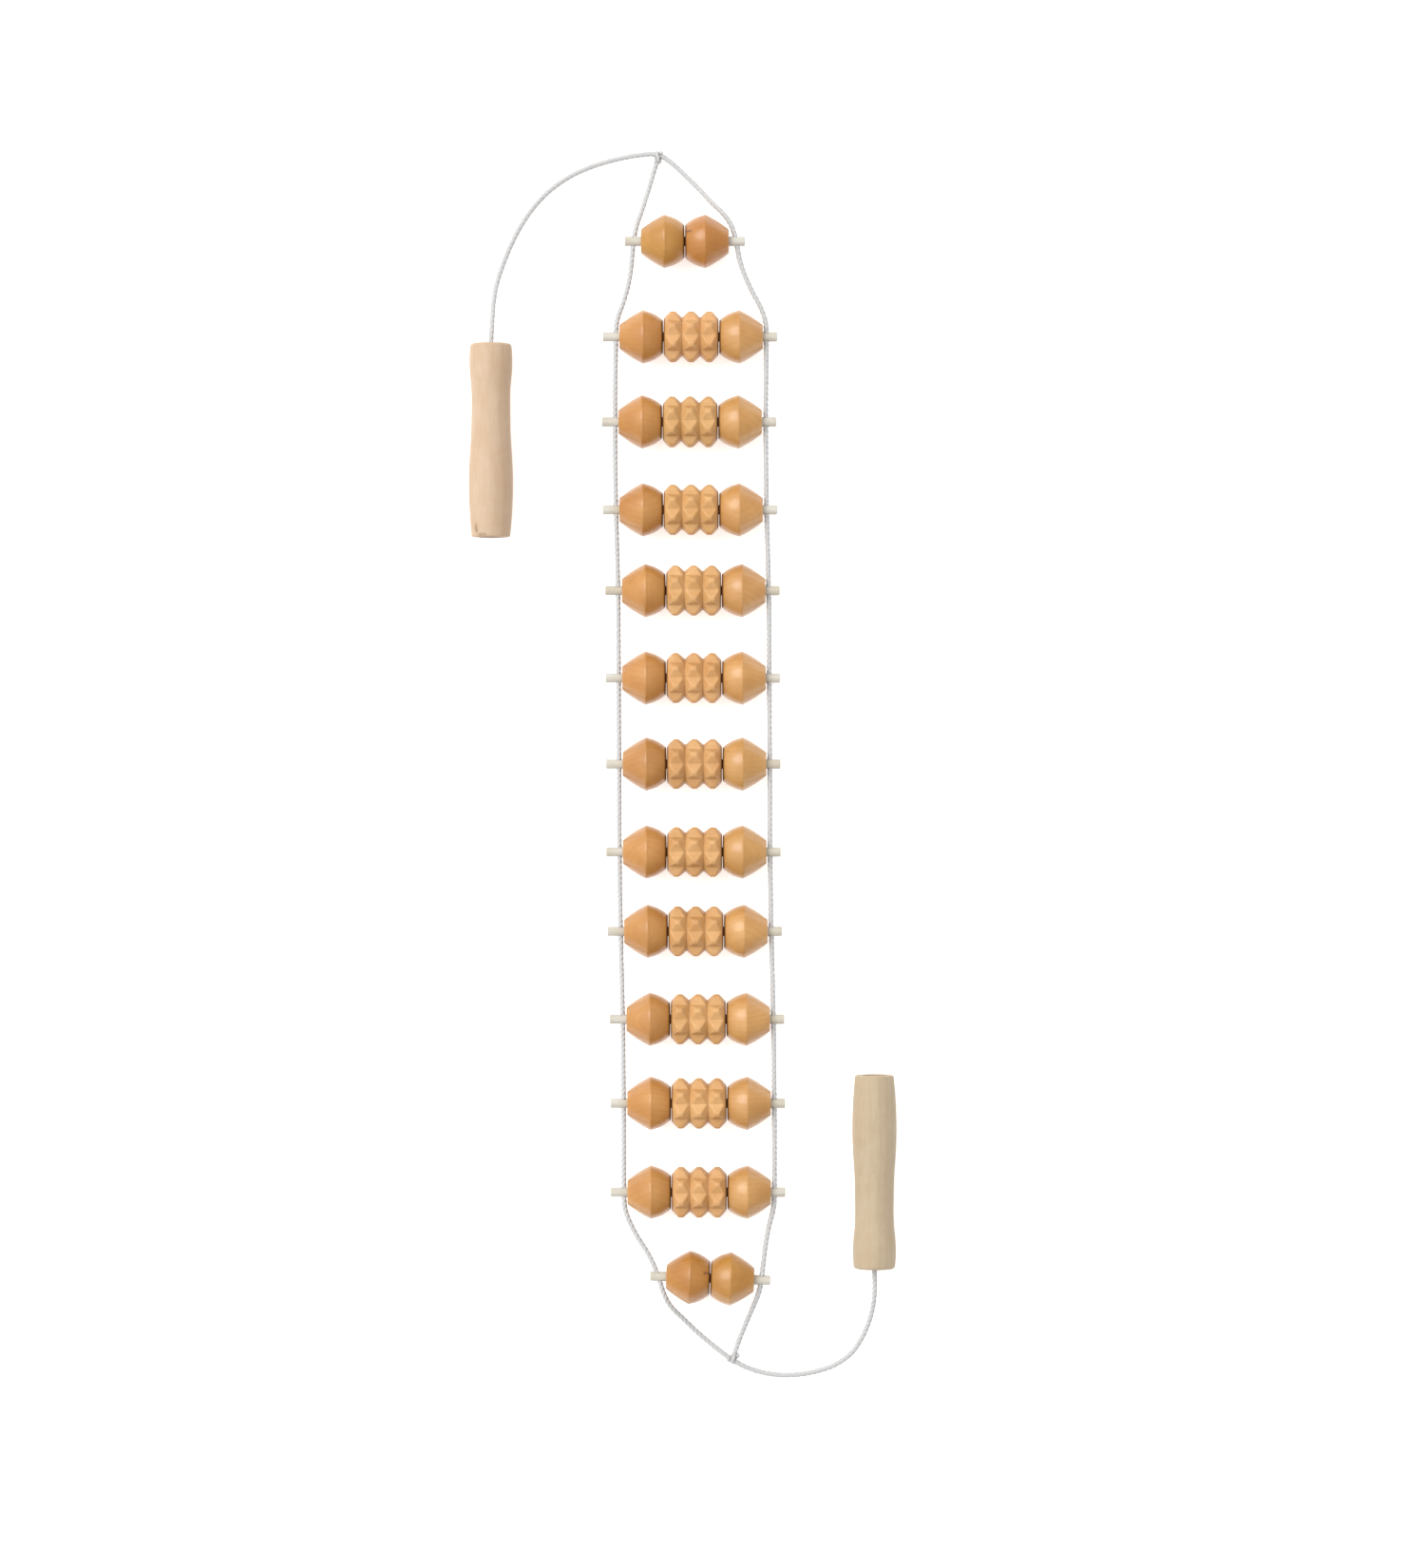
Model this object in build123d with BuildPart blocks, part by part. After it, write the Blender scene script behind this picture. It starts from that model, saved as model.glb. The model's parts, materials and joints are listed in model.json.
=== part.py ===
from build123d import *
import os
from math import cos, radians, sin, tan

os.makedirs("parts", exist_ok=True)

# Two-handled rope-ladder massage roller, lying flat with its cords laid out.
# Frame: +Z up from the floor, +Y along the ladder, origin on the floor under the middle.
# All sizes are millimetres.

# Axles
AXLE_DIA = 6.0
LONG_AXLE_ENDS = (-55.9, 54.3)          # from the middle of the row's rollers
SHORT_AXLE_ENDS = (-38.0, 38.0)
LONG_CROSS_HOLE_X = 47.6                # cord holes, each side of the middle
SHORT_CROSS_HOLE_X = 32.6
CROSS_HOLE_DIA = 3.7
AXLE_EDGE = 0.4
RUNNING_CLEARANCE = 0.08                # radial, axle in its rollers

# Double-cone beads
BEAD_WIDTH = 27.5
BEAD_RIDGE_R = 16.8
BEAD_RIDGE_X = 1.3                      # ridge from the bead's middle, towards its inner end
BEAD_INNER_END_R = 10.5
BEAD_OUTER_END_R = 7.5
BEAD_INNER_BULGE = 0.85                 # how far each cone swells out of straight
BEAD_OUTER_BULGE = 0.5
BEAD_EDGE_R = 1.7
BEAD_CREST = (1.2, 0.36)                # half the width and the height of the rounded ridge

# Studded rollers: turned rings, cut lengthwise into studs
ROLLER_LENGTH = 34.6
ROLLER_RINGS = 3
RING_TIP_R = 16.6
RING_TIP_WIDTH = 2.8
GROOVE_R = 12.1
ROLLER_END_R = 11.4
STUDS_PER_RING = 8
FLUTE_R = 13.3
FLUTE_HALF_ANGLE = 64.0                 # of the V between two studs

# Rows, as (x, y) of the middle of each row's rollers
PIECE_GAP = 0.5
PAIR_ROWS = {1: (1.4, 327.3), 13: (17.4, -327.3)}
PAIR_TILT = {1: 0.0, 13: -2.0}          # degrees that the row is turned about Z
LONG_ROWS = {
    2: (5.4, 267.0),
    3: (4.8, 213.3),
    4: (5.4, 157.8),
    5: (7.0, 106.8),
    6: (7.2, 51.6),
    7: (7.5, -2.7),
    8: (7.6, -58.2),
    9: (8.4, -108.3),
    10: (9.9, -163.8),
    11: (10.4, -216.9),
    12: (10.5, -273.0),
}
AXLE_Z = BEAD_RIDGE_R                   # the ridges of the beads stand on the floor

# Handles: turned, drilled through, with a wide bore at the open end for the stop knot
HANDLE_X = 121.2
HANDLE_Z = 14.0
UPPER_HANDLE_TOP_Y = 263.1              # the end that the cord enters
LOWER_HANDLE_BOTTOM_Y = -321.6
HANDLE_OUTLINE = [                      # distance from the cord's end, radius
    (0.0, 13.0), (11.0, 13.6), (19.0, 13.3), (26.5, 12.55), (42.0, 12.25),
    (58.0, 12.6), (72.0, 13.5), (87.0, 14.0), (102.0, 13.7), (122.4, 12.2),
]
HANDLE_LENGTH = HANDLE_OUTLINE[-1][0]
CORD_END_ROUNDING = 2.2
OPEN_END_ROUNDING = 1.3
HANDLE_CORD_HOLE_DIA = 4.2
KNOT_BORE_DIA = 16.0
KNOT_BORE_DEPTH = 30.0

# Cords
CORD_DIA = 3.2
CORD_FLOOR_Z = 1.65
KNOT_R = 5.0
KNOT_LENGTH = 11.0
KNOT_SEAT_GAP = 0.3
TIE_R = 3.7
TIE_LENGTH = 8.4
TIE_Z = 3.8


def long_row_hole(row, side):
    """Where a cord passes through a long axle; side is -1 on the left, 1 on the right."""
    x, y = LONG_ROWS[row]
    return (x + side * LONG_CROSS_HOLE_X, y, AXLE_Z)


def pair_row_point(row, offset):
    """A point on a short axle's line, at an offset from the row's middle."""
    (x, y), tilt = PAIR_ROWS[row], radians(PAIR_TILT[row])
    return (x + offset * cos(tilt), y + offset * sin(tilt), AXLE_Z)


def pair_row_hole(row, side):
    return pair_row_point(row, side * SHORT_CROSS_HOLE_X)


UPPER_KNOT_Y = UPPER_HANDLE_TOP_Y - HANDLE_LENGTH + KNOT_BORE_DEPTH - KNOT_SEAT_GAP - KNOT_LENGTH / 2
LOWER_KNOT_Y = LOWER_HANDLE_BOTTOM_Y + HANDLE_LENGTH - KNOT_BORE_DEPTH + KNOT_SEAT_GAP + KNOT_LENGTH / 2

UPPER_TIE = (-15.3, 381.9, TIE_Z)
LOWER_TIE = (32.2, -378.9, TIE_Z)

# Cord A: upper handle, upper apex, down the right-hand side, tied to cord B at the lower apex
CORD_A = [
    (-HANDLE_X, UPPER_KNOT_Y, HANDLE_Z),
    (-121.0, 202.0, 14.2),
    (-121.3, 236.0, 13.9),
    (-HANDLE_X, 262.0, HANDLE_Z),
    (-120.4, 277.5, 12.8),
    (-119.8, 289.5, 8.8),
    (-118.2, 301.2, 4.2),
    (-114.3, 313.8, 2.0),
    (-108.3, 328.5, CORD_FLOOR_Z),
    (-99.9, 343.9, CORD_FLOOR_Z),
    (-88.4, 358.1, CORD_FLOOR_Z),
    (-74.1, 369.1, CORD_FLOOR_Z),
    (-58.2, 376.4, CORD_FLOOR_Z),
    (-42.3, 381.0, 1.8),
    (-27.9, 383.6, 2.6),
    (-15.2, 384.4, TIE_Z),
    (-6.0, 377.6, 3.9),
    (3.6, 368.4, 4.6),
    (11.8, 360.0, 7.4),
    (18.7, 352.0, 11.2),
    (25.8, 345.4, 14.6),
    (31.3, 337.4, 16.4),
    pair_row_hole(1, 1),
    (36.5, 312.4, 16.7),
    (43.1, 296.8, 16.6),
    (49.6, 285.6, 16.7),
    (52.7, 276.6, 16.8),
    *[long_row_hole(row, 1) for row in LONG_ROWS],
    (57.6, -283.6, 16.8),
    (53.9, -296.4, 16.7),
    (51.6, -311.8, 16.6),
    pair_row_hole(13, 1),
    (48.0, -337.4, 16.2),
    (44.5, -345.8, 13.6),
    (40.9, -354.3, 9.8),
    (37.6, -362.7, 6.2),
    (34.6, -370.5, 4.2),
    (32.4, -377.6, TIE_Z),
]

# Cord B: lower handle, lower apex, up the left-hand side, tied to cord A at the upper apex
CORD_B = [
    (HANDLE_X, LOWER_KNOT_Y, HANDLE_Z),
    (121.0, -260.5, 14.2),
    (121.3, -294.5, 13.9),
    (HANDLE_X, -320.5, HANDLE_Z),
    (121.6, -335.0, 12.6),
    (120.7, -345.5, 8.6),
    (118.3, -355.7, 4.4),
    (114.0, -366.2, 2.2),
    (106.8, -377.1, CORD_FLOOR_Z),
    (95.8, -384.4, CORD_FLOOR_Z),
    (82.8, -388.4, CORD_FLOOR_Z),
    (69.5, -390.3, CORD_FLOOR_Z),
    (56.2, -389.8, CORD_FLOOR_Z),
    (43.2, -386.5, 2.4),
    (31.8, -380.9, TIE_Z),
    (20.4, -372.1, 3.8),
    (9.4, -362.9, 5.2),
    (0.4, -353.7, 8.8),
    (-8.0, -345.6, 13.2),
    (-12.6, -336.0, 16.3),
    pair_row_hole(13, -1),
    (-20.9, -312.7, 16.6),
    (-29.1, -300.6, 16.6),
    (-34.2, -290.4, 16.7),
    (-36.8, -282.6, 16.8),
    *[long_row_hole(row, -1) for row in reversed(LONG_ROWS)],
    (-41.8, 277.4, 16.8),
    (-36.8, 290.0, 16.7),
    (-32.8, 305.7, 16.6),
    pair_row_hole(1, -1),
    (-29.2, 337.4, 16.2),
    (-26.0, 346.2, 13.4),
    (-23.3, 355.0, 9.4),
    (-20.9, 363.5, 6.0),
    (-18.6, 371.7, 4.2),
    (-16.2, 379.8, TIE_Z),
]


def bend_radii(points):
    """One radius for each corner of a route: as large as its two runs allow."""
    corners = [Vector(*p) for p in points]
    radii = []
    for before, here, after in zip(corners, corners[1:], corners[2:]):
        turn = (here - before).get_angle(after - here)
        shorter = min((here - before).length, (after - here).length)
        radii.append(0.45 * shorter / tan(radians(turn) / 2))
    return radii


def save(piece, name):
    piece.part.label = name
    export_step(piece.part, f"parts/{name}.step")


def cord(points, name):
    radii = bend_radii(points)
    with BuildPart() as tube:
        with BuildLine():
            route = FilletPolyline(*points, radius=radii)
        with BuildSketch(Plane(origin=route @ 0, z_dir=route % 0)) as section:
            Circle(CORD_DIA / 2)
        sweep()
    expected = section.sketch.area * route.length
    print(f"{name}: length {route.length:.0f}, volume {tube.part.volume:.0f} of {expected:.0f}")
    print("  bend radii", ", ".join(f"{r:.0f}" for r in radii))
    return tube


def cord_slant(points, hole):
    """Direction of a cord where it passes through an axle."""
    at = points.index(hole)
    return Vector(*points[at + 1]) - Vector(*points[at - 1])


def axle(middle, ends, holes, tilt=0):
    """Plain dowel across the ladder with a cord hole near each end, in line with the cord there."""
    x, y = middle
    along = (cos(radians(tilt)), sin(radians(tilt)), 0)
    start = (x + ends[0] * along[0], y + ends[0] * along[1], AXLE_Z)
    with BuildPart() as dowel:
        with BuildSketch(Plane(origin=start, z_dir=along)):
            Circle(AXLE_DIA / 2)
        extrude(amount=ends[1] - ends[0])
        chamfer(dowel.edges().filter_by(GeomType.CIRCLE), length=AXLE_EDGE)
        for hole, slant in holes:
            with BuildSketch(Plane(origin=hole, z_dir=slant)):
                Circle(CROSS_HOLE_DIA / 2)
            extrude(amount=AXLE_DIA, both=True, mode=Mode.SUBTRACT)
    return dowel


def axle_bore(length):
    """Bore for the axle through a roller that lies along X about the origin."""
    with BuildSketch(Plane.YZ.offset(-length / 2)) as bore:
        Circle(AXLE_DIA / 2 + RUNNING_CLEARANCE)
    extrude(bore.sketch, amount=length, mode=Mode.SUBTRACT)


# Double-cone bead, turned about X, its inner end towards +X
half_bead = BEAD_WIDTH / 2
crest_half, crest_drop = BEAD_CREST
crest_r = BEAD_RIDGE_R - crest_drop
outer_crest = (BEAD_RIDGE_X - crest_half, crest_r)
inner_crest = (BEAD_RIDGE_X + crest_half, crest_r)
outer_end = (-half_bead, BEAD_OUTER_END_R)
inner_end = (half_bead, BEAD_INNER_END_R)
with BuildPart() as bead_blank:
    with BuildSketch(Plane.XZ) as bead_profile:
        with BuildLine():
            SagittaArc(outer_end, outer_crest, BEAD_OUTER_BULGE)
            ThreePointArc(outer_crest, (BEAD_RIDGE_X, BEAD_RIDGE_R), inner_crest)
            SagittaArc(inner_crest, inner_end, BEAD_INNER_BULGE)
            Polyline(inner_end, (half_bead, 0), (-half_bead, 0), outer_end)
        make_face()
        rims = bead_profile.vertices().filter_by(lambda v: abs(v.X) > half_bead - 1 and v.Y > 1)
        fillet(rims, radius=BEAD_EDGE_R)
    revolve(axis=Axis.X)
    axle_bore(BEAD_WIDTH)

# Studded roller, turned about X: rings with V grooves between, cut into studs by V flutes
half_roller = ROLLER_LENGTH / 2
ring_pitch = ROLLER_LENGTH / ROLLER_RINGS
with BuildPart() as roller_blank:
    with BuildSketch(Plane.XZ):
        with BuildLine():
            outline = [(-half_roller, 0), (-half_roller, ROLLER_END_R)]
            for ring in range(ROLLER_RINGS):
                middle = (ring - (ROLLER_RINGS - 1) / 2) * ring_pitch
                if ring:
                    outline.append((middle - ring_pitch / 2, GROOVE_R))
                outline.append((middle - RING_TIP_WIDTH / 2, RING_TIP_R))
                outline.append((middle + RING_TIP_WIDTH / 2, RING_TIP_R))
            outline += [(half_roller, ROLLER_END_R), (half_roller, 0)]
            Polyline(*outline, close=True)
        make_face()
    revolve(axis=Axis.X)
    flute_reach = 2 * (RING_TIP_R - FLUTE_R)
    flute_half = flute_reach * tan(radians(FLUTE_HALF_ANGLE))
    with BuildSketch(Plane.YZ.offset(-half_roller)):
        with PolarLocations(FLUTE_R, STUDS_PER_RING):
            Polygon((0, 0), (flute_reach, flute_half), (flute_reach, -flute_half), align=None)
    extrude(amount=ROLLER_LENGTH, mode=Mode.SUBTRACT)
    axle_bore(ROLLER_LENGTH)

# Handle, turned about Y, its cord end at the origin and its open end towards -Y
with BuildPart() as handle_blank:
    with BuildSketch() as handle_profile:
        with BuildLine():
            Spline(*[(r, -along) for along, r in HANDLE_OUTLINE])
            Polyline((HANDLE_OUTLINE[-1][1], -HANDLE_LENGTH), (0, -HANDLE_LENGTH),
                     (0, 0), (HANDLE_OUTLINE[0][1], 0))
        make_face()
        rims = handle_profile.vertices().filter_by(lambda v: v.X > HANDLE_CORD_HOLE_DIA)
        fillet(rims.sort_by(Axis.Y)[-1], radius=CORD_END_ROUNDING)
        rims = handle_profile.vertices().filter_by(lambda v: v.X > HANDLE_CORD_HOLE_DIA)
        fillet(rims.sort_by(Axis.Y)[0], radius=OPEN_END_ROUNDING)
    revolve(axis=Axis.Y)
    with BuildSketch(Plane.XZ):
        Circle(HANDLE_CORD_HOLE_DIA / 2)
    extrude(amount=HANDLE_LENGTH, mode=Mode.SUBTRACT)
    with BuildSketch(Plane.XZ.offset(HANDLE_LENGTH)):
        Circle(KNOT_BORE_DIA / 2)
    extrude(amount=-KNOT_BORE_DEPTH, mode=Mode.SUBTRACT)


def placed(blank, at, turn=0):
    """A copy of a finished blank, turned about Z and set at a point."""
    with BuildPart() as piece:
        with Locations(Location(at, (0, 0, turn))):
            add(blank.part)
    return piece


def knot(at, along, radius, length):
    """Plain barrel for a knot, its length in line with the cord."""
    with BuildPart() as barrel:
        with BuildSketch(Plane(origin=at, x_dir=along, z_dir=(0, 0, 1))):
            Ellipse(length / 2, radius)
            Rectangle(length, radius, align=(Align.CENTER, Align.MAX), mode=Mode.SUBTRACT)
        revolve(axis=Axis(at, along))
    return barrel


# Rows with a studded roller between two beads
bead_offset = half_roller + PIECE_GAP + half_bead
for row, (x, y) in LONG_ROWS.items():
    left, right = long_row_hole(row, -1), long_row_hole(row, 1)
    holes = [(left, cord_slant(CORD_B, left)), (right, cord_slant(CORD_A, right))]
    save(axle((x, y), LONG_AXLE_ENDS, holes), f"axle_{row}")
    save(placed(bead_blank, (x - bead_offset, y, AXLE_Z)), f"bead_left_{row}")
    save(placed(roller_blank, (x, y, AXLE_Z)), f"studded_roller_{row}")
    save(placed(bead_blank, (x + bead_offset, y, AXLE_Z), turn=180), f"bead_right_{row}")

# End rows with two beads
pair_offset = PIECE_GAP / 2 + half_bead
for row, middle in PAIR_ROWS.items():
    tilt = PAIR_TILT[row]
    left, right = pair_row_hole(row, -1), pair_row_hole(row, 1)
    holes = [(left, cord_slant(CORD_B, left)), (right, cord_slant(CORD_A, right))]
    save(axle(middle, SHORT_AXLE_ENDS, holes, tilt), f"axle_{row}")
    save(placed(bead_blank, pair_row_point(row, -pair_offset), tilt), f"bead_left_{row}")
    save(placed(bead_blank, pair_row_point(row, pair_offset), tilt + 180), f"bead_right_{row}")

# Handles
save(placed(handle_blank, (-HANDLE_X, UPPER_HANDLE_TOP_Y, HANDLE_Z)), "handle_upper")
save(placed(handle_blank, (HANDLE_X, LOWER_HANDLE_BOTTOM_Y, HANDLE_Z), turn=180), "handle_lower")

# Cords and their knots
save(cord(CORD_A, "cord_a"), "cord_a")
save(cord(CORD_B, "cord_b"), "cord_b")
save(knot(CORD_A[0], (0, 1, 0), KNOT_R, KNOT_LENGTH), "stop_knot_upper")
save(knot(CORD_B[0], (0, -1, 0), KNOT_R, KNOT_LENGTH), "stop_knot_lower")
save(knot(UPPER_TIE, (1, 0.1, 0), TIE_R, TIE_LENGTH), "tie_knot_upper")
save(knot(LOWER_TIE, (-1, 0.5, 0), TIE_R, TIE_LENGTH), "tie_knot_lower")
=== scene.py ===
import json
import math
import random

import bpy
import numpy as np
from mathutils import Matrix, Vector


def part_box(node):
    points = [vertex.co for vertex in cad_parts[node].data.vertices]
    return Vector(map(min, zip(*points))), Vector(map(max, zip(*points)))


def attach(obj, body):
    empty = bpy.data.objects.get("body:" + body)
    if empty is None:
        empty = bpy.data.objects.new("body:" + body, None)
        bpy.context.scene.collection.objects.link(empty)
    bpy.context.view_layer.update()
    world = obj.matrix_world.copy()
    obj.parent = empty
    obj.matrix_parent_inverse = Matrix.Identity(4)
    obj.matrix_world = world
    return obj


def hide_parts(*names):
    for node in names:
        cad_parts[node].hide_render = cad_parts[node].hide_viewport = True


# Two-handled rope-ladder massage roller, lying flat on a pale floor, seen from straight above.
# Everything is in metres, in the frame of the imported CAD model.

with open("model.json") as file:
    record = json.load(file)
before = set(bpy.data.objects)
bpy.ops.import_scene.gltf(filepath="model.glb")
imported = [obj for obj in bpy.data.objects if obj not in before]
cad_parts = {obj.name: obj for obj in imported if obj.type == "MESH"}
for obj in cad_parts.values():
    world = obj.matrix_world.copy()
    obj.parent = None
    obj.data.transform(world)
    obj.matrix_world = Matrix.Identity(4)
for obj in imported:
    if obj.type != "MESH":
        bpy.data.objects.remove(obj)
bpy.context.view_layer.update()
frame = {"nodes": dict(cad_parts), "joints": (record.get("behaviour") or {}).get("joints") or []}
nodes = frame["nodes"]
scene = bpy.context.scene

LONG_ROWS = range(2, 13)
END_ROWS = (1, 13)
TAU = 2 * math.pi


# ---------------------------------------------------------------- camera, light and floor

VIEW_CENTRE = (0.0189, -0.0153)
VIEW_HEIGHT = 0.99                      # what the long side of the picture covers
CAMERA_DISTANCE = 3.4
SENSOR = 36.0
AXLE_Z = 0.0168
FLOOR_REACH = 15
FLOOR_GAP = 0.0002                      # the floor lies just under the lowest point of the part
FLOOR_GLOW = 0.42                       # a lit white floor, which keeps the shadows faint

camera = bpy.data.objects.new("camera", bpy.data.cameras.new("camera"))
camera.data.sensor_width = SENSOR
camera.data.lens = SENSOR * CAMERA_DISTANCE / VIEW_HEIGHT
camera.data.clip_end = 20
camera.location = (*VIEW_CENTRE, AXLE_Z + CAMERA_DISTANCE)
scene.collection.objects.link(camera)
scene.camera = camera
scene.view_settings.view_transform = "Standard"


def add_sun(name, strength, spread, azimuth, elevation):
    """A soft sun; azimuth is where it stands, counter-clockwise from +X, in degrees."""
    sun = bpy.data.objects.new(name, bpy.data.lights.new(name, "SUN"))
    sun.data.energy = strength
    sun.data.angle = math.radians(spread)
    a, e = math.radians(azimuth), math.radians(elevation)
    towards = Vector((math.cos(a) * math.cos(e), math.sin(a) * math.cos(e), math.sin(e)))
    sun.rotation_euler = towards.to_track_quat("Z", "Y").to_euler()
    scene.collection.objects.link(sun)


add_sun("key_light", strength=1.75, spread=42, azimuth=140, elevation=52)
add_sun("top_light", strength=0.8, spread=90, azimuth=200, elevation=75)

# ---------------------------------------------------------------- material helpers


def node(tree, kind, inputs=None, **settings):
    """Adds a shader node; an input is either a socket to link or a value to set."""
    made = tree.nodes.new("ShaderNode" + kind)
    for name, value in settings.items():
        setattr(made, name, value)
    for name, value in (inputs or {}).items():
        if isinstance(value, bpy.types.NodeSocket):
            tree.links.new(value, made.inputs[name])
        else:
            made.inputs[name].default_value = value
    return made


def math_node(tree, operation, a, b=0.0):
    return node(tree, "Math", {0: a, 1: b}, operation=operation).outputs[0]


def mix_colour(tree, factor, a, b):
    return node(tree, "Mix", {0: factor, 6: a, 7: b}, data_type="RGBA").outputs[2]


def ramp(tree, value, low, high, to_low=0.0, to_high=1.0):
    made = node(tree, "MapRange", {"Value": value, "From Min": low, "From Max": high,
                                   "To Min": to_low, "To Max": to_high}, clamp=True)
    return made.outputs["Result"]


def noise(tree, vector, scale, detail=3.0, roughness=0.55):
    made = node(tree, "TexNoise", {"Vector": vector, "Scale": scale, "Detail": detail,
                                   "Roughness": roughness})
    return made.outputs["Fac"]


def new_material(name, roughness):
    """A Principled material, with its node tree and its shader."""
    material = bpy.data.materials.new(name)
    material.use_nodes = True
    tree = material.node_tree
    surface = tree.nodes["Principled BSDF"]
    surface.inputs["Roughness"].default_value = roughness
    return material, tree, surface


def rgba(colour):
    return (*colour, 1.0)


CREVICE_SHADE = (0.115, 0.038, 0.008)         # painted shade where two pieces nearly meet and in grooves


def spot_mask(tree, coords, at, size, ragged):
    """1 inside a blob of the given half-sizes about a point, fading to 0 outside it."""
    offset = node(tree, "VectorMath", {0: coords, 1: at}, operation="SUBTRACT").outputs[0]
    scaled = node(tree, "VectorMath", {0: offset, 1: size}, operation="DIVIDE").outputs[0]
    far = node(tree, "VectorMath", {0: scaled}, operation="LENGTH").outputs["Value"]
    wobble = ramp(tree, noise(tree, coords, 420.0, 3.0), 0.3, 0.7, -ragged, ragged)
    return ramp(tree, math_node(tree, "ADD", far, wobble), 1.15, 0.65)


def band_mask(tree, coords, axis, at, reach):
    """1 on a plane across an axis, fading to 0 at the given distance from it."""
    along = node(tree, "VectorMath", {0: coords, 1: axis}, operation="DOT_PRODUCT").outputs["Value"]
    off = math_node(tree, "ABSOLUTE", math_node(tree, "SUBTRACT", along, at))
    return ramp(tree, off, reach, reach * 0.35)


def wood(name, colour, along, seed, coat, roughness, ring, fibre, mottle,
         ring_width=0.0032, spots=(), shade_bands=()):
    """Turned wood: growth rings and fibres along an axis, mottling, pores, fine bump, and painted shade in
    bands at gaps and grooves.
    """
    draw = random.Random(seed)
    material, tree, surface = new_material(name, roughness=roughness)
    surface.inputs["Coat Weight"].default_value = coat
    surface.inputs["Coat Roughness"].default_value = 0.22
    surface.inputs["IOR"].default_value = 1.46
    place = node(tree, "TexCoord").outputs["Object"]
    quarter = math.pi / 2 if along == "Y" else 0.0
    shift = tuple(draw.uniform(-0.5, 0.5) for _ in range(3))
    # X runs along the fibres; the rings are bands across them at a random turn
    turned = node(tree, "Mapping", {"Vector": place, "Location": shift,
                                    "Rotation": (0.0, 0.0, quarter)}).outputs[0]
    rolled = node(tree, "Mapping", {"Vector": turned,
                                    "Rotation": (draw.uniform(0, math.pi), 0.0, 0.0)}).outputs[0]
    slim = node(tree, "Mapping", {"Vector": rolled, "Scale": (0.22, 1.0, 1.0)}).outputs[0]
    hair = node(tree, "Mapping", {"Vector": rolled, "Scale": (0.05, 1.0, 1.0)}).outputs[0]
    rings = node(tree, "TexWave", {"Vector": slim, "Scale": 0.314 / ring_width,
                                   "Distortion": 7.0, "Detail": 2.0, "Detail Scale": 0.35},
                 wave_type="BANDS", bands_direction="Y", wave_profile="SIN").outputs["Fac"]
    fibres = noise(tree, hair, 1100.0, 3.0, 0.6)
    pores = noise(tree, hair, 3200.0, 2.0, 0.5)
    patches = noise(tree, turned, 62.0, 3.0, 0.5)
    dark = rgba((colour[0] * 0.80, colour[1] * 0.70, colour[2] * 0.56))
    deep = rgba((colour[0] * 0.58, colour[1] * 0.44, colour[2] * 0.30))
    light = rgba((min(colour[0] * 1.10, 1), min(colour[1] * 1.14, 1), min(colour[2] * 1.22, 1)))
    tone = mix_colour(tree, ramp(tree, patches, 0.32, 0.68, 0.5 - mottle * 4, 0.5 + mottle * 4),
                      dark, light)
    tone = mix_colour(tree, ramp(tree, rings, 0.35, 1.0, 0.0, ring * 4), tone, dark)
    tone = mix_colour(tree, ramp(tree, fibres, 0.45, 0.75, 0.0, fibre * 5), tone, dark)
    tone = mix_colour(tree, ramp(tree, pores, 0.60, 0.74, 0.0, fibre * 3), tone, deep)
    height = math_node(tree, "ADD", math_node(tree, "MULTIPLY", fibres, 0.6),
                       math_node(tree, "MULTIPLY", rings, 0.25))
    for at, size, shade, share in spots:
        mask = spot_mask(tree, place, at, size, 0.35)
        tone = mix_colour(tree, math_node(tree, "MULTIPLY", mask, share), tone, rgba(shade))
        height = math_node(tree, "SUBTRACT", height, math_node(tree, "MULTIPLY", mask, 1.5))
    # painted shade: each band darkens the colour across the axis, at a gap between pieces or in a groove
    for axis, at, reach, share in shade_bands:
        mask = band_mask(tree, place, axis, at, reach)
        tone = mix_colour(tree, math_node(tree, "MULTIPLY", mask, share), tone, rgba(CREVICE_SHADE))
    tree.links.new(tone, surface.inputs["Base Color"])
    rough = ramp(tree, math_node(tree, "ADD", fibres, patches), 0.7, 1.3,
                 roughness - 0.07, roughness + 0.07)
    tree.links.new(rough, surface.inputs["Roughness"])
    bump = node(tree, "Bump", {"Height": height, "Strength": 0.35, "Distance": 0.00012})
    tree.links.new(bump.outputs[0], surface.inputs["Normal"])
    return material


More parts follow.
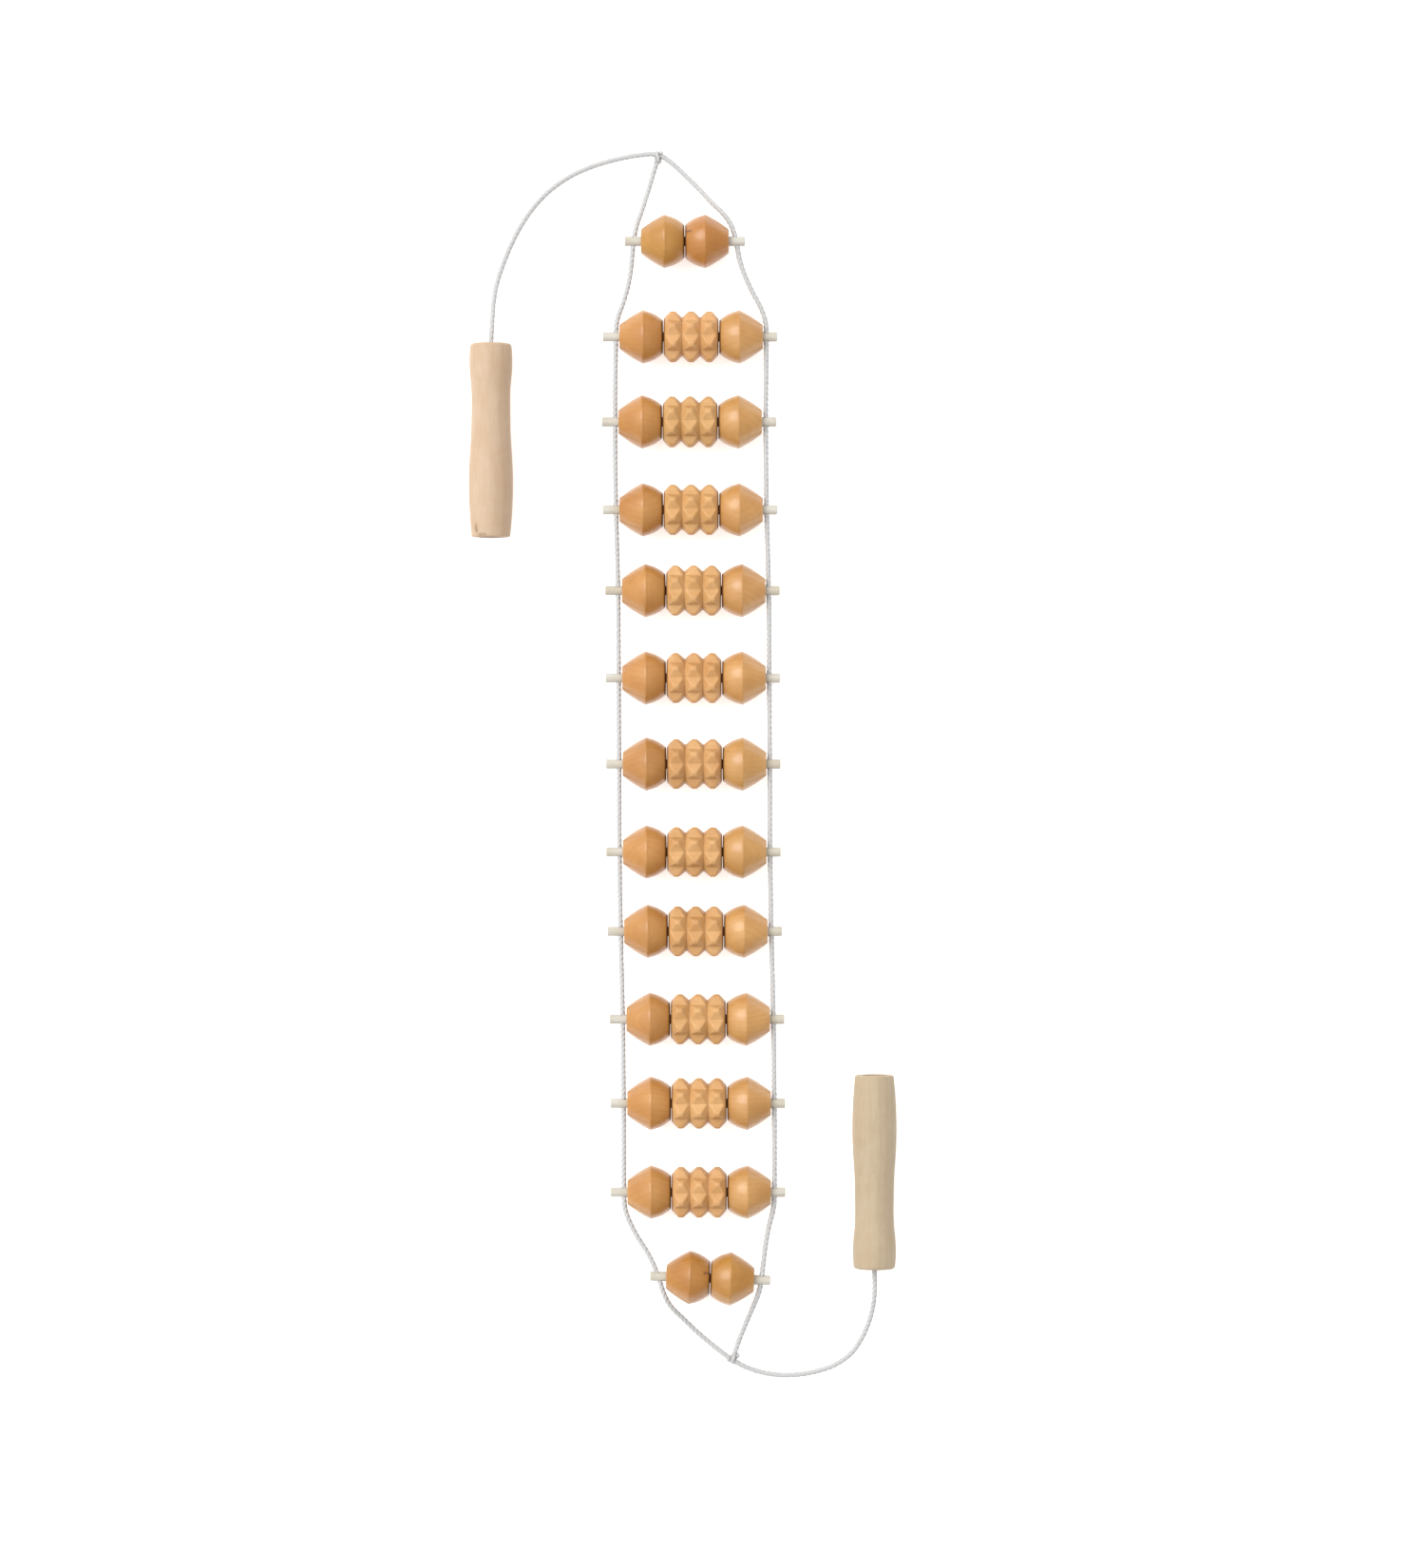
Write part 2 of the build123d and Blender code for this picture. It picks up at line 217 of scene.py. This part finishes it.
def cord_material():
    """White nylon: yarns in line with the cord, painted shade between the yarns, light soaking in, and
    faint grubby patches.
    """
    material, tree, surface = new_material("white_nylon_cord", roughness=0.62)
    surface.inputs["Subsurface Weight"].default_value = 0.35
    surface.inputs["Subsurface Radius"].default_value = (1.0, 1.0, 1.0)
    surface.inputs["Subsurface Scale"].default_value = 0.0015
    uv = node(tree, "UVMap", uv_map="lay").outputs[0]
    place = node(tree, "TexCoord").outputs["Object"]
    yarns = node(tree, "TexWave", {"Vector": uv, "Scale": 0.314 * 26, "Distortion": 1.2,
                                   "Detail": 2.0, "Detail Scale": 1.4},
                 wave_type="BANDS", bands_direction="X", wave_profile="SIN").outputs["Fac"]
    fuzz = noise(tree, node(tree, "Mapping", {"Vector": uv, "Scale": (60.0, 3.0, 1.0)}).outputs[0],
                 1.0, 3.0, 0.6)
    patches = noise(tree, place, 45.0, 3.0, 0.5)
    # painted shade: the valleys between the yarns are coloured darker
    tone = mix_colour(tree, ramp(tree, yarns, 0.0, 0.55, 0.45, 0.0),
                      rgba((0.50, 0.50, 0.50)), rgba((0.43, 0.43, 0.43)))
    tone = mix_colour(tree, ramp(tree, fuzz, 0.35, 0.75, 0.0, 0.35), tone, rgba((0.46, 0.46, 0.46)))
    tone = mix_colour(tree, ramp(tree, patches, 0.4, 0.75, 0.0, 0.25), tone, rgba((0.48, 0.475, 0.465)))
    tree.links.new(tone, surface.inputs["Base Color"])
    tree.links.new(ramp(tree, fuzz, 0.2, 0.8, 0.52, 0.72), surface.inputs["Roughness"])
    height = math_node(tree, "ADD", yarns, math_node(tree, "MULTIPLY", fuzz, 0.5))
    bump = node(tree, "Bump", {"Height": height, "Strength": 0.45, "Distance": 0.0001})
    tree.links.new(bump.outputs[0], surface.inputs["Normal"])
    return material


def floor_material():
    material, tree, surface = new_material("pale_floor", roughness=0.85)
    place = node(tree, "TexCoord").outputs["Object"]
    speckle = noise(tree, place, 3.0, 2.0, 0.5)
    tone = mix_colour(tree, speckle, rgba((0.93, 0.93, 0.93)), rgba((0.90, 0.90, 0.90)))
    tree.links.new(tone, surface.inputs["Base Color"])
    surface.inputs["Emission Color"].default_value = (1, 1, 1, 1)
    surface.inputs["Emission Strength"].default_value = FLOOR_GLOW
    return material


def studio_world():
    """Soft white surroundings, brighter towards the key light."""
    world = bpy.data.worlds.new("studio")
    world.use_nodes = True
    tree = world.node_tree
    towards = node(tree, "TexCoord").outputs["Generated"]
    facing = node(tree, "VectorMath", {0: towards, 1: (-0.45, 0.55, 0.70)},
                  operation="DOT_PRODUCT").outputs["Value"]
    background = tree.nodes["Background"]
    background.inputs["Color"].default_value = (1.0, 0.995, 0.985, 1)
    tree.links.new(ramp(tree, facing, -0.5, 0.9, 0.42, 1.02), background.inputs["Strength"])
    scene.world = world


def finish_piece(piece, material, smooth=True):
    piece.data.materials.clear()
    piece.data.materials.append(material)
    if smooth:
        piece.data.polygons.foreach_set("use_smooth", [True] * len(piece.data.polygons))


def new_piece(name, points, faces):
    mesh = bpy.data.meshes.new(name)
    mesh.from_pydata([tuple(p) for p in points], [], faces)
    mesh.update()
    piece = bpy.data.objects.new(name, mesh)
    scene.collection.objects.link(piece)
    return piece


reach = FLOOR_REACH
corners = [(-reach, -reach, 0), (reach, -reach, 0), (reach, reach, 0), (-reach, reach, 0)]
floor = new_piece("floor", corners, [(0, 1, 2, 3)])
floor.location.z = -FLOOR_GAP
finish_piece(floor, floor_material(), smooth=False)
studio_world()


# ---------------------------------------------------------------- cords and knots

STRANDS = 3
STRAND_R = 0.00112
STRAND_OUT = 0.00060                    # from the middle of the cord to a strand's middle
CORD_LAY = 0.0102                       # length of one full turn of the strands
SECTION_POINTS = 15
RING_STEP = 0.0006
WRAP_STEPS = 40                         # points in one turn of a knot's coil
TAIL_STEP = 0.0005

# Routes, from the knot inside each handle to the tie at the ladder's far end
CORD_A = [
    (-0.1212, 0.1649, 0.0140), (-0.1210, 0.2020, 0.0142), (-0.1213, 0.2360, 0.0139),
    (-0.1212, 0.2620, 0.0140), (-0.1204, 0.2775, 0.0128), (-0.1198, 0.2895, 0.0088),
    (-0.1182, 0.3012, 0.0042), (-0.1143, 0.3138, 0.0020), (-0.1083, 0.3285, 0.00165),
    (-0.0999, 0.3439, 0.00165), (-0.0884, 0.3581, 0.00165), (-0.0741, 0.3691, 0.00165),
    (-0.0582, 0.3764, 0.00165), (-0.0423, 0.3810, 0.0018), (-0.0279, 0.3836, 0.0026),
    (-0.0152, 0.3844, 0.0038), (-0.0060, 0.3776, 0.0039), (0.0036, 0.3684, 0.0046),
    (0.0118, 0.3600, 0.0074), (0.0187, 0.3520, 0.0112), (0.0258, 0.3454, 0.0146),
    (0.0313, 0.3374, 0.0164), (0.0340, 0.3273, 0.0168), (0.0365, 0.3124, 0.0167),
    (0.0431, 0.2968, 0.0166), (0.0496, 0.2856, 0.0167), (0.0527, 0.2766, 0.0168),
    (0.0530, 0.2670, 0.0168), (0.0524, 0.2133, 0.0168), (0.0530, 0.1578, 0.0168),
    (0.0546, 0.1068, 0.0168), (0.0548, 0.0516, 0.0168), (0.0551, -0.0027, 0.0168),
    (0.0552, -0.0582, 0.0168), (0.0560, -0.1083, 0.0168), (0.0575, -0.1638, 0.0168),
    (0.0580, -0.2169, 0.0168), (0.0581, -0.2730, 0.0168), (0.0576, -0.2836, 0.0168),
    (0.0539, -0.2964, 0.0167), (0.0516, -0.3118, 0.0166), (0.0500, -0.3284, 0.0168),
    (0.0480, -0.3374, 0.0162), (0.0445, -0.3458, 0.0136), (0.0409, -0.3543, 0.0098),
    (0.0376, -0.3627, 0.0062), (0.0346, -0.3705, 0.0042), (0.0324, -0.3776, 0.0038)]
CORD_B = [
    (0.1212, -0.2234, 0.0140), (0.1210, -0.2605, 0.0142), (0.1213, -0.2945, 0.0139),
    (0.1212, -0.3205, 0.0140), (0.1216, -0.3350, 0.0126), (0.1207, -0.3455, 0.0086),
    (0.1183, -0.3557, 0.0044), (0.1140, -0.3662, 0.0022), (0.1068, -0.3771, 0.00165),
    (0.0958, -0.3844, 0.00165), (0.0828, -0.3884, 0.00165), (0.0695, -0.3903, 0.00165),
    (0.0562, -0.3898, 0.00165), (0.0432, -0.3865, 0.0024), (0.0318, -0.3809, 0.0038),
    (0.0204, -0.3721, 0.0038), (0.0094, -0.3629, 0.0052), (0.0004, -0.3537, 0.0088),
    (-0.0080, -0.3456, 0.0132), (-0.0126, -0.3360, 0.0163), (-0.0152, -0.3262, 0.0168),
    (-0.0209, -0.3127, 0.0166), (-0.0291, -0.3006, 0.0166), (-0.0342, -0.2904, 0.0167),
    (-0.0368, -0.2826, 0.0168), (-0.0371, -0.2730, 0.0168), (-0.0372, -0.2169, 0.0168),
    (-0.0377, -0.1638, 0.0168), (-0.0392, -0.1083, 0.0168), (-0.0400, -0.0582, 0.0168),
    (-0.0401, -0.0027, 0.0168), (-0.0404, 0.0516, 0.0168), (-0.0406, 0.1068, 0.0168),
    (-0.0422, 0.1578, 0.0168), (-0.0428, 0.2133, 0.0168), (-0.0422, 0.2670, 0.0168),
    (-0.0418, 0.2774, 0.0168), (-0.0368, 0.2900, 0.0167), (-0.0328, 0.3057, 0.0166),
    (-0.0312, 0.3273, 0.0168), (-0.0292, 0.3374, 0.0162), (-0.0260, 0.3462, 0.0134),
    (-0.0233, 0.3550, 0.0094), (-0.0209, 0.3635, 0.0060), (-0.0186, 0.3717, 0.0042),
    (-0.0162, 0.3798, 0.0038)]


def spline_points(name, points):
    """Points read from the smooth NURBS line along a route, about RING_STEP apart."""
    curve = bpy.data.curves.new(name, "CURVE")
    curve.dimensions = "3D"
    curve.resolution_u = 90
    spline = curve.splines.new("NURBS")
    spline.points.add(len(points) - 1)
    for point, at in zip(spline.points, points):
        point.co = (*at, 1.0)
    spline.order_u = 3
    spline.use_endpoint_u = True
    holder = bpy.data.objects.new(name, curve)
    scene.collection.objects.link(holder)
    bpy.context.view_layer.update()
    depsgraph = bpy.context.evaluated_depsgraph_get()
    line = bpy.data.meshes.new_from_object(holder.evaluated_get(depsgraph))
    read = [Vector(v.co) for v in line.vertices]
    bpy.data.objects.remove(holder)
    kept = [read[0]]
    for at in read[1:-1]:
        if (at - kept[-1]).length >= RING_STEP and (read[-1] - at).length >= RING_STEP:
            kept.append(at)
    return kept + [read[-1]]


def frames_along(points):
    """(point, side, up, ahead, distance) along a line, with no twist of their own."""
    side, travelled, found = None, 0.0, []
    for i, at in enumerate(points):
        ahead = (points[min(i + 1, len(points) - 1)] - points[max(i - 1, 0)]).normalized()
        if side is None:
            side = ahead.orthogonal().normalized()
        side = (side - ahead * side.dot(ahead)).normalized()
        if i:
            travelled += (at - points[i - 1]).length
        found.append((at, side, ahead.cross(side), ahead, travelled))
    return found


def strand_radius(angle, size):
    """Radius of a section of three strands laid side by side, at an angle from the first."""
    part = TAU / STRANDS
    a = (angle + part / 2) % part - part / 2
    reach = STRAND_OUT * math.cos(a)
    return size * (reach + math.sqrt(STRAND_R ** 2 - (STRAND_OUT * math.sin(a)) ** 2))


def rope_piece(name, points, size=1.0, lay=CORD_LAY, phase=0.0):
    """A closed twisted three-strand rope along a line, with rounded, heat-sealed ends."""
    rings, uvs, along = [], [], frames_along(points)
    length = along[-1][4]
    ends = [(0.25, -0.0007), (0.72, -0.0004), (0.93, -0.00015)]
    rows = [(along[0], k, push) for k, push in ends]
    rows += [(f, 1.0, 0.0) for f in along]
    rows += [(along[-1], k, -push) for k, push in reversed(ends)]
    for (at, side, up, ahead, travelled), shrink, push in rows:
        turn = TAU * travelled / lay + phase
        ring = []
        for i in range(SECTION_POINTS):
            angle = TAU * i / SECTION_POINTS
            r = strand_radius(angle - math.pi / STRANDS, size) * shrink
            a = angle + turn
            ring.append(at + ahead * push * size + (side * math.cos(a) + up * math.sin(a)) * r)
        rings.append(ring)
        uvs.append((turn / TAU, (travelled + push) / 0.01))
    count = SECTION_POINTS
    points_out = [p for ring in rings for p in ring]
    faces, face_uv = [], []
    for k in range(len(rings) - 1):
        for i in range(count):
            j = (i + 1) % count
            faces.append((k * count + i, k * count + j, (k + 1) * count + j, (k + 1) * count + i))
            (u0, v0), (u1, v1) = uvs[k], uvs[k + 1]
            a, b = i / count, (i + 1) / count
            face_uv += [(u0 + a, v0), (u0 + b, v0), (u1 + b, v1), (u1 + a, v1)]
    last = (len(rings) - 1) * count
    faces.append(tuple(reversed(range(count))))
    faces.append(tuple(range(last, last + count)))
    face_uv += [(i / count, 0.0) for i in reversed(range(count))]
    face_uv += [(i / count, length / 0.01) for i in range(count)]
    piece = new_piece(name, points_out, faces)
    layer = piece.data.uv_layers.new(name="lay")
    layer.data.foreach_set("uv", [c for uv in face_uv for c in uv])
    finish_piece(piece, NYLON)
    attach(piece, "ladder")
    return piece


def wrap_line(middle, along, half_wide, half_high, turns, pitch, start, tail):
    """A coil about a point, round an oval, that ends in a tail; along and the oval are flat."""
    ahead = Vector(along).normalized()
    across = Vector((0, 0, 1)).cross(ahead).normalized()
    middle = Vector(middle)
    steps = int(turns * WRAP_STEPS)
    line = []
    for i in range(steps + 1):
        t = turns * i / steps
        a = start + TAU * t
        line.append(middle + ahead * (t - turns / 2) * pitch + across * half_wide * math.cos(a)
                    + Vector((0, 0, 1)) * half_high * math.sin(a))
    heading = (line[-1] - line[-2]).normalized()
    at = line[-1]
    for share in range(1, tail + 1):
        aim = (heading * (1 - share / tail) + ahead * (share / tail)).normalized()
        at = at + aim * TAIL_STEP
        line.append(at.copy())
    return line


NYLON = cord_material()

path_a = spline_points("route_a", CORD_A)
path_b = spline_points("route_b", CORD_B)
cord_a = rope_piece("rope_a", path_a)
cord_b = rope_piece("rope_b", path_b, phase=1.1)
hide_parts("cord_a")
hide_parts("cord_b")

for name, route, outward in (("stop_knot_upper", CORD_A, -1), ("stop_knot_lower", CORD_B, 1)):
    line = wrap_line(route[0], (0, outward, 0), half_wide=0.00315, half_high=0.00315,
                     turns=2.7, pitch=0.0028, start=0.6, tail=12)
    rope_piece(name + "_rope", line, phase=0.4)
    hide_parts(name)
for name, middle, along, wide in (
        ("tie_knot_upper", (-0.0157, 0.3819, 0.0038), (1, 0.1, 0), 0.0031),
        ("tie_knot_lower", (0.0322, -0.3790, 0.0038), (-1, 0.5, 0), 0.0028)):
    line = wrap_line(middle, along, wide, half_high=0.00215, turns=1.7, pitch=0.0023, start=2.4, tail=3)
    rope_piece(name + "_rope", line, size=0.70, lay=0.0075, phase=0.9)
    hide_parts(name)


# ---------------------------------------------------------------- studded rollers

ROLLER_LENGTH = 0.0346
RING_PITCH = ROLLER_LENGTH / 3
RING_TIP_R = 0.0166
RING_TIP_WIDTH = 0.0028
GROOVE_R = 0.0121
ROLLER_END_R = 0.0114
BORE_R = 0.00308
FLUTE_R = 0.0133
FLUTE_SLOPE = 1 / math.tan(math.radians(64))
STUDS = 8
ROUNDING = 0.00050


def soft_min(a, b, k):
    h = np.clip(0.5 + 0.5 * (b - a) / k, 0, 1)
    return b * (1 - h) + a * h - k * h * (1 - h)


def ring_outline(x):
    """Radius of the turned rings at a distance along the roller from its middle."""
    inside = np.abs((x + ROLLER_LENGTH / 2) % RING_PITCH - RING_PITCH / 2)
    low = np.where(np.abs(x) > RING_PITCH, ROLLER_END_R, GROOVE_R)
    slope = (RING_TIP_R - low) / (RING_PITCH / 2 - RING_TIP_WIDTH / 2)
    return low + (RING_PITCH / 2 - inside) * slope


def roller_mesh(name, middle, seed):
    """Turned rings cut lengthwise into rounded pyramid studs, with a bore, in one closed mesh."""
    draw = np.random.default_rng(seed)
    around, lengths = 176, 100
    x = np.linspace(-ROLLER_LENGTH / 2, ROLLER_LENGTH / 2, lengths)
    angle = np.linspace(0, TAU, around, endpoint=False)
    part = TAU / STUDS
    phi = np.abs((angle + part / 2) % part - part / 2)
    flute_r = FLUTE_R + draw.normal(0, 0.00008, 1)[0]
    flute = flute_r / (np.cos(phi) - FLUTE_SLOPE * np.sin(phi))
    xx, ff = np.meshgrid(x, flute, indexing="ij")
    inner = np.clip(xx, -ROLLER_LENGTH / 2 + 1e-6, ROLLER_LENGTH / 2 - 1e-6)
    r = soft_min(ring_outline(inner), ff, ROUNDING)
    r = soft_min(r, np.full_like(r, RING_TIP_R), ROUNDING)
    # the grooves' bottoms are turned with a slightly round tool
    for groove in (-RING_PITCH / 2, RING_PITCH / 2):
        near = np.exp(-((xx - groove) / 0.00035) ** 2)
        r = r + near * 0.00018
    # ends: the bore, a flat face, then a small rounding
    rows = list(zip(x, r))
    first, final = r[0], r[-1]
    start = [(x[0], np.full(around, BORE_R)), (x[0], first * 0.62 + BORE_R * 0.1),
             (x[0], first - 0.00050), (x[0] + 0.00012, first - 0.00015)]
    end = [(x[-1] - 0.00012, final - 0.00015), (x[-1], final - 0.00050),
           (x[-1], final * 0.62 + BORE_R * 0.1), (x[-1], np.full(around, BORE_R))]
    rows = start + rows[1:-1] + end
    points = []
    for along, radius in rows:
        for a, away in zip(angle, radius):
            points.append((middle.x + along, middle.y + away * math.cos(a), middle.z + away * math.sin(a)))
    faces = []
    total = len(rows)
    for i in range(total):                      # the last band is the bore
        k = (i + 1) % total
        for j in range(around):
            m = (j + 1) % around
            faces.append((i * around + j, i * around + m, k * around + m, k * around + j))
    return new_piece(name, points, faces)


STUD_TINT = (0.567, 0.322, 0.128)
for row in LONG_ROWS:
    low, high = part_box(f"studded_roller_{row}")
    middle = (low + high) / 2
    draw = random.Random(700 + row)
    shade = draw.uniform(0.97, 1.04)
    tint = [c * shade * draw.uniform(0.985, 1.015) for c in STUD_TINT]
    piece = roller_mesh(f"stud_ring_{row}", middle, seed=row)
    # painted shade at the roller's two ends, beside the beads, and in the two grooves between its rings
    ends = [((1, 0, 0), middle.x + s * ROLLER_LENGTH / 2, 0.0011, 0.85) for s in (-1, 1)]
    groove_shade = [((1, 0, 0), middle.x + s * RING_PITCH / 2, 0.00055, 0.38) for s in (-1, 1)]
    finish_piece(piece, wood(f"stud_wood_{row}", tint, "X", seed=40 + row, coat=0.12,
                             roughness=0.50, ring=0.05, fibre=0.05, mottle=0.08, shade_bands=ends + groove_shade))
    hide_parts(f"studded_roller_{row}")
    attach(piece, f"studded_roller_{row}")


# ---------------------------------------------------------------- beads, axles and handles

BEAD_LEFT = (0.442, 0.206, 0.048)
BEAD_RIGHT = (0.514, 0.271, 0.084)
BEAD_END_ROW = {(1, "left"): (0.430, 0.203, 0.034), (1, "right"): (0.426, 0.175, 0.029),
                (13, "left"): (0.389, 0.168, 0.026), (13, "right"): (0.414, 0.197, 0.036)}
STREAK = (0.16, 0.055, 0.018)
BEAD_HALF = 0.01375                     # half the width of a bead
GAP_X = 0.01755                         # from the middle of a row to the gap beside its roller

for row in (*END_ROWS, *LONG_ROWS):
    for side in ("left", "right"):
        name = f"bead_{side}_{row}"
        low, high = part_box(name)
        middle = (low + high) / 2
        draw = random.Random(f"{side} {row}")
        base = BEAD_END_ROW.get((row, side), BEAD_LEFT if side == "left" else BEAD_RIGHT)
        shade = draw.uniform(0.95, 1.05)
        tint = [c * shade * draw.uniform(0.985, 1.015) for c in base]
        spots = []
        if name == "bead_right_1":
            spots = [((low.x + 0.0035, middle.y + 0.0052, middle.z + 0.0100),
                      (0.0042, 0.0011, 0.0030), STREAK, 0.75)]
        if name == "bead_left_13":
            spots = [((high.x - 0.0040, middle.y + 0.0035, middle.z + 0.0105),
                      (0.0044, 0.0012, 0.0030), STREAK, 0.75)]
        joint = next(j for j in frame["joints"] if j["child"] == name)
        axis = Vector(joint["axis"])
        inner = axis.dot(joint["pos_m"]) + BEAD_HALF * (1 if side == "left" else -1)
        # painted shade on the bead's inner end, in the gap beside the roller
        shade_bands = [(tuple(axis), inner, 0.0013, 0.92)]
        finish_piece(nodes[name], wood(f"lacquered_{side}_{row}", tint, "X",
                                       seed=row * 2 + (side == "left"), coat=0.55,
                                       roughness=0.42, ring=0.05, fibre=0.05, mottle=0.06,
                                       spots=spots, shade_bands=shade_bands), smooth=False)

DOWEL_WOOD = (0.529, 0.520, 0.470)
for row in (*END_ROWS, *LONG_ROWS):
    turning = [j for j in frame["joints"] if j["child"] in (f"bead_left_{row}", f"bead_right_{row}")]
    middle = sum((Vector(j["pos_m"]) for j in turning), Vector()) / 2
    axis = Vector(turning[0]["axis"])
    # painted shade: the pale axle is darkened where it shows between two pieces
    gaps = (0.0,) if row in END_ROWS else (-GAP_X, GAP_X)
    shade_bands = [(tuple(axis), axis.dot(middle) + gap, 0.0016, 0.95) for gap in gaps]
    finish_piece(nodes[f"axle_{row}"], wood(f"pale_dowel_{row}", DOWEL_WOOD, "X",
                                            seed=300 + row, coat=0.0, roughness=0.62, ring=0.04,
                                            fibre=0.09, mottle=0.07, ring_width=0.0018,
                                            shade_bands=shade_bands), smooth=False)

UPPER_HANDLE_WOOD = (0.518, 0.390, 0.280)
LOWER_HANDLE_WOOD = (0.435, 0.356, 0.250)
FLAW = (0.20, 0.125, 0.055)
low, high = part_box("handle_upper")
flaws = [((low.x + 0.0052, low.y + 0.0052, high.z - 0.0052), (0.0012, 0.0030, 0.0030), FLAW, 0.6),
         ((low.x + 0.0088, low.y + 0.0012, high.z - 0.0030), (0.0040, 0.0014, 0.0030), FLAW, 0.45)]
for name, tint, seed, spots in (("handle_upper", UPPER_HANDLE_WOOD, 402, flaws),
                                ("handle_lower", LOWER_HANDLE_WOOD, 411, [])):
    finish_piece(nodes[name], wood(f"{name}_wood", tint, "Y", seed=seed, coat=0.0,
                                   roughness=0.66, ring=0.05, fibre=0.07, mottle=0.03,
                                   ring_width=0.0045, spots=spots), smooth=False)
